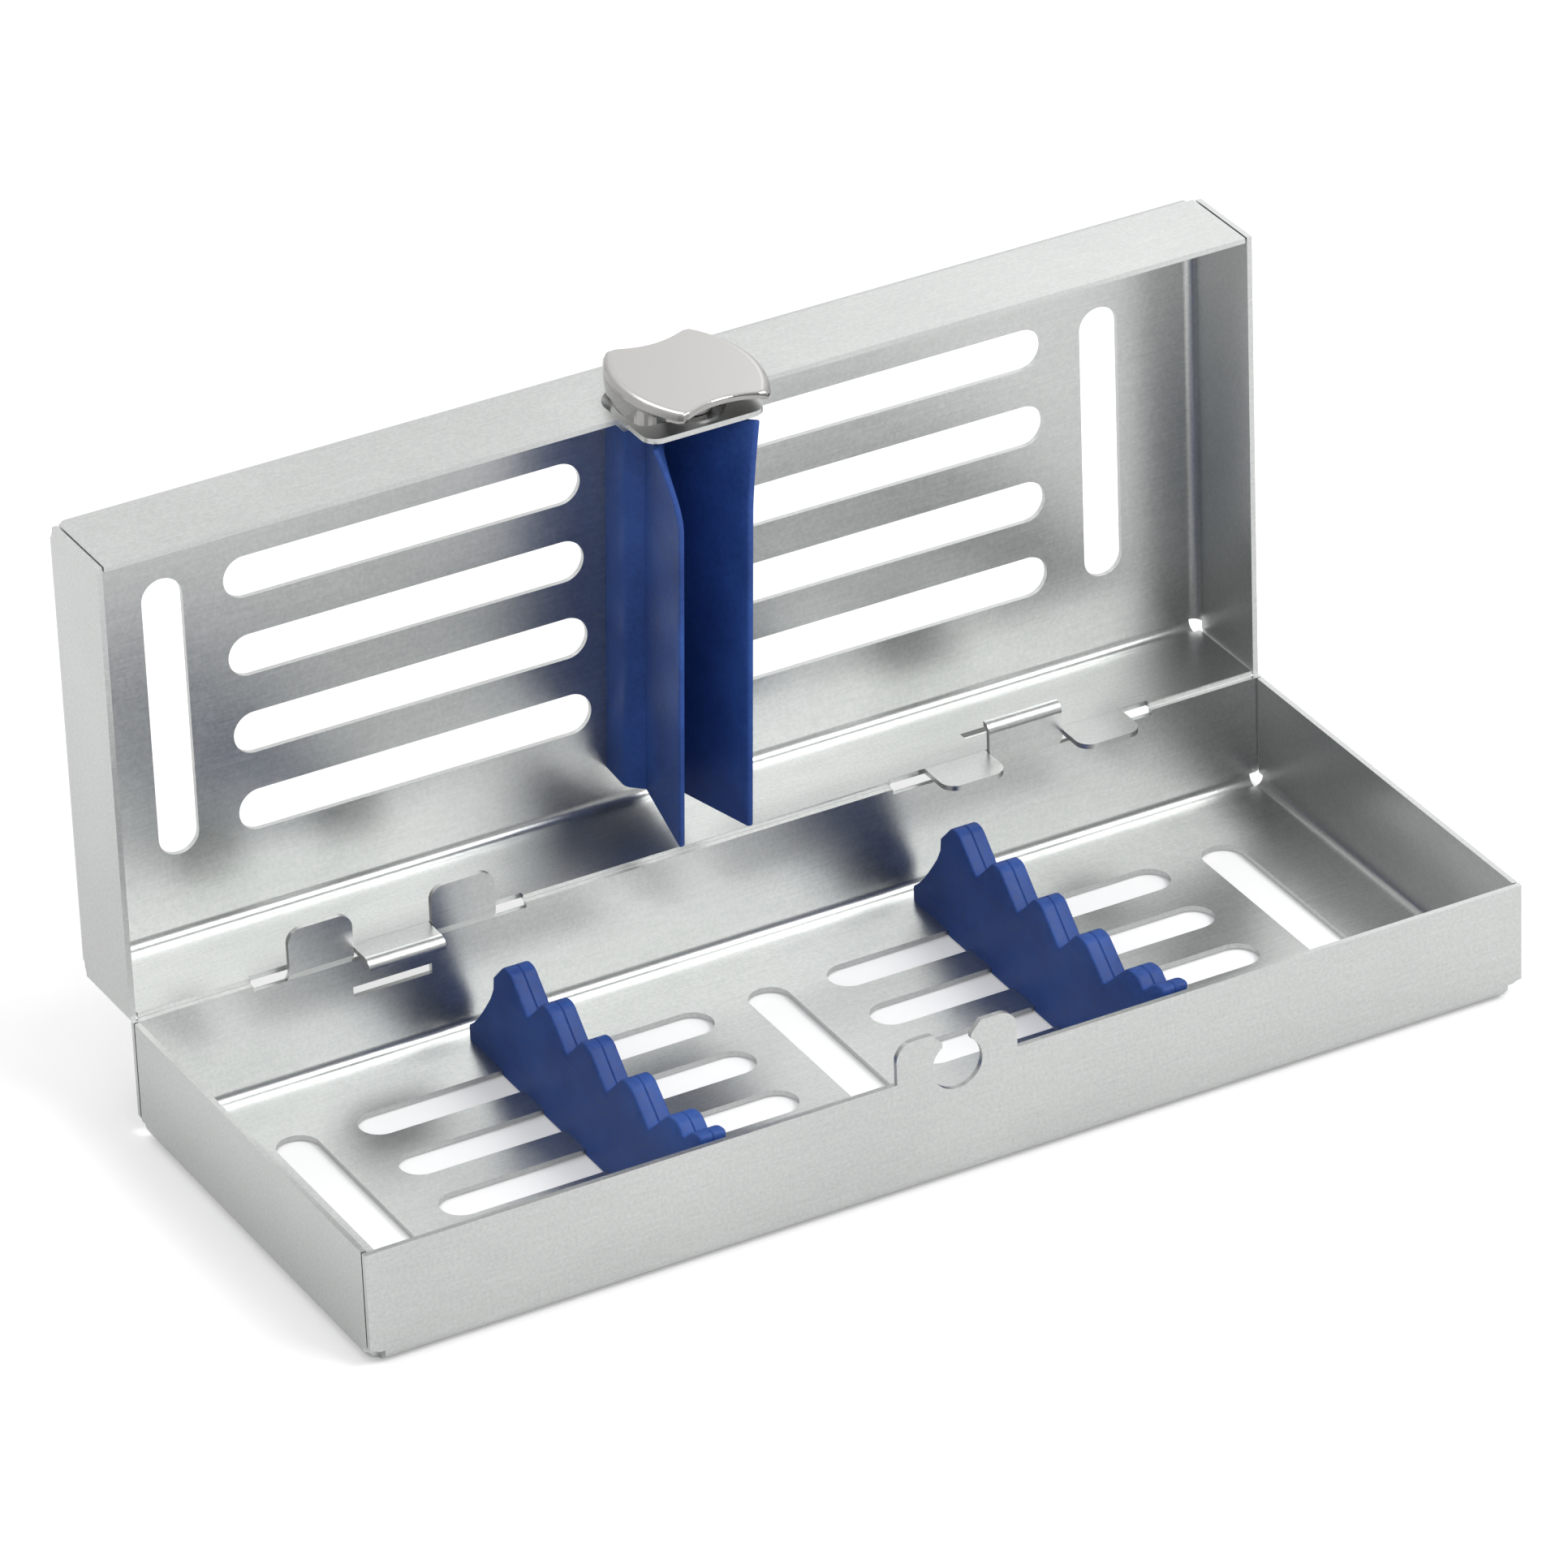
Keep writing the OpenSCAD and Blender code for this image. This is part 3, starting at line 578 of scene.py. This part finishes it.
def mould_holder(node, material):
    """Base on the lid's panel with two leaning fins that curl outwards towards the latch."""
    half = BASE_WIDTH / 2
    holder = begin(node + "_moulding", (-half, PANEL_Y - BASE_DEPTH, HOLDER_LOW),
                   (half, PANEL_Y, HOLDER_HIGH))

    # Base, narrower at the panel, with a shoulder up to the fins' roots
    pick(holder, "FACE", lambda c: all(near(p.y, PANEL_Y) for p in c))
    narrow((BASE_WIDTH - 2 * BASE_DRAFT) / BASE_WIDTH)
    pick(holder, "FACE", lambda c: all(near(p.y, PANEL_Y - BASE_DEPTH) for p in c))
    draw_out(0, BASE_DEPTH - ROOT_DEPTH, 0)
    narrow(ROOT_WIDTH / BASE_WIDTH)

    for side in (-1, 1):
        cut((side * FIN_INSIDE, 0, 0), (1, 0, 0))
    for side in (-1, 1):
        draw_fin(holder, side)

    # Plug through the lid's middle slot
    middle = TRAY_HEIGHT + CASE_DEPTH / 2
    plug_half = (CROSS_LEN - CROSS_WIDTH) / 2
    plug_left = PLUG_SHIFT - PLUG_WIDTH / 2 - HOLDER_SHIFT
    plug_right = plug_left + PLUG_WIDTH
    for place in (plug_left, plug_right):
        cut((place, 0, 0), (1, 0, 0))
    for place in (middle - plug_half, middle + plug_half):
        cut((0, 0, place), (0, 0, 1))
    pick(holder, "FACE", lambda c: all(near(p.y, PANEL_Y) and abs(p.z - middle) < plug_half + TINY
                                       and plug_left - TINY < p.x < plug_right + TINY for p in c))
    draw_out(0, SHEET, 0)

    # Rounded edges: fin tips nearly half round, the rest softly broken
    tidy_flats()
    pick(holder, "EDGE", lambda c: all(p.y < PANEL_Y - HOLDER_DEPTH + TINY for p in c)
         and not near(c[0].z, c[1].z))
    round_edges(FIN_TIP_ROUND, segments=3)
    pick(holder, "EDGE", lambda c: all(near(p.y, PANEL_Y - BASE_DEPTH) and abs(p.x) > half - TINY
                                       for p in c))
    round_edges(SHOULDER_ROUND, segments=3)
    for end in (HOLDER_LOW, HOLDER_HIGH):
        pick(holder, "EDGE", lambda c: all(near(p.z, end) for p in c) and end_edge(c))
        round_edges(END_ROUND, segments=2)

    # Cuts across the fins and along the curl, so that it is a smooth curve
    for count in range(1, 2 * FIN_STEPS):
        cut((0, ROOT_Y - count * FIN_STEP / 2, 0), (0, 1, 0))
    for count in range(CURL_STEPS):
        cut((0, 0, CURL_START + count * CURL_LEN / CURL_STEPS), (0, 0, 1))
    bpy.ops.object.mode_set(mode="OBJECT")
    curl_fins(holder)
    finish_piece(holder, "lid", [node], material)


mould_holder("lid_holder", silicone)


# Studio, in metres

FLOOR_SIZE = 6
FLOOR_GAP = 0.0003
FLOOR_TONE = (0.82, 0.82, 0.82, 1)
FLOOR_ROUGHNESS = 0.9
WHITE = (1, 1, 1, 1)

# How far the floor is lifted in mirrors and for the camera
FLOOR_MIRRORED = 0.02
FLOOR_SEEN = 0.22

# The surround as a light, for the camera and in mirrors, where it dims towards the front left
WORLD_LIGHT = 0.85
WORLD_SEEN = 1.0
WORLD_MIRRORED = 1.0
WORLD_DIM_SIDE = 0.4
DIM_TOWARDS = (-0.5, -0.85, 0.15)
DIM_SPREAD = (0.1, 0.85)


def by_ray(nodes, links, kind, others, seen):
    """A number that is one thing for rays of a kind and another for the rest."""
    path = nodes.new("ShaderNodeLightPath")
    node = nodes.new("ShaderNodeMix")
    node.data_type = "FLOAT"
    links.new(path.outputs[kind], node.inputs["Factor"])
    for value, socket in ((others, node.inputs["A"]), (seen, node.inputs["B"])):
        if isinstance(value, float):
            socket.default_value = value
        else:
            links.new(value, socket)
    return node.outputs["Result"]


def white_floor(name):
    """Matt white that keeps its shadows, lifted to white for the camera."""
    material, nodes, links, shader = new_material(name)
    shader.inputs["Base Color"].default_value = FLOOR_TONE
    shader.inputs["Roughness"].default_value = FLOOR_ROUGHNESS
    shader.inputs["Emission Color"].default_value = WHITE
    mirrored = by_ray(nodes, links, "Is Glossy Ray", 0.0, FLOOR_MIRRORED)
    links.new(by_ray(nodes, links, "Is Camera Ray", mirrored, FLOOR_SEEN),
              shader.inputs["Emission Strength"])
    return material


def white_surround(name):
    """A white world, dimmer in mirrors towards the front left."""
    world = bpy.data.worlds.new(name)
    world.use_nodes = True
    nodes, links = world.node_tree.nodes, world.node_tree.links
    place = nodes.new("ShaderNodeTexCoord")
    towards = nodes.new("ShaderNodeVectorMath")
    towards.operation = "DOT_PRODUCT"
    towards.inputs[1].default_value = DIM_TOWARDS
    links.new(place.outputs["Generated"], towards.inputs[0])
    dimmed = mapped(nodes, links, towards.outputs["Value"], DIM_SPREAD,
                    (WORLD_MIRRORED, WORLD_DIM_SIDE), "SMOOTHSTEP")
    mirrored = by_ray(nodes, links, "Is Glossy Ray", WORLD_LIGHT, dimmed)
    nodes["Background"].inputs["Color"].default_value = WHITE
    links.new(by_ray(nodes, links, "Is Camera Ray", mirrored, WORLD_SEEN),
              nodes["Background"].inputs["Strength"])
    return world


def lamp(name, place, aim, size, power):
    light = bpy.data.lights.new(name, "AREA")
    light.shape = "RECTANGLE"
    light.size, light.size_y = size
    light.energy = power
    made = bpy.data.objects.new(name, light)
    bpy.context.scene.collection.objects.link(made)
    made.location = place
    made.rotation_euler = (Vector(aim) - Vector(place)).to_track_quat("-Z", "Y").to_euler()


bpy.ops.object.select_all(action="DESELECT")
bpy.ops.mesh.primitive_plane_add(size=FLOOR_SIZE, location=(0, 0, -FLOOR_GAP))
floor = bpy.context.object
floor.name = "studio_floor"
floor.data.materials.append(white_floor("studio_floor"))

bpy.context.scene.world = white_surround("studio_world")
lamp("key_lamp", place=(0.44, -0.7, 1.0), aim=(0, 0, 0.03), size=(0.6, 0.5), power=7.8)
lamp("back_lamp", place=(0.34, 0.44, 0.37), aim=(0.06, 0.035, 0.09), size=(0.2, 0.2), power=0.06)
lamp("overhead_lamp", place=(-0.2, 0.5, 0.95), aim=(0, 0, 0.05), size=(0.5, 0.5), power=1.4)


# Camera: its lens in millimetres, its place, and where the picture's right and top point

LENS = 244.06
SENSOR = 36
CLIP_START = 0.05
CAMERA_PLACE = (-0.590068, -1.117403, 0.769533)
CAMERA_RIGHT = Vector((0.874894, -0.483081, -0.034543))
CAMERA_UP = Vector((0.267877, 0.423255, 0.865504))

camera = bpy.data.cameras.new("camera")
camera_object = bpy.data.objects.new("camera", camera)
bpy.context.scene.collection.objects.link(camera_object)
camera.sensor_width = SENSOR
camera.lens = LENS
camera.clip_start = CLIP_START
turn = Matrix((CAMERA_RIGHT, CAMERA_UP, CAMERA_RIGHT.cross(CAMERA_UP))).transposed().to_4x4()
camera_object.matrix_world = Matrix.Translation(CAMERA_PLACE) @ turn
bpy.context.scene.camera = camera_object
bpy.context.scene.view_settings.view_transform = "Standard"
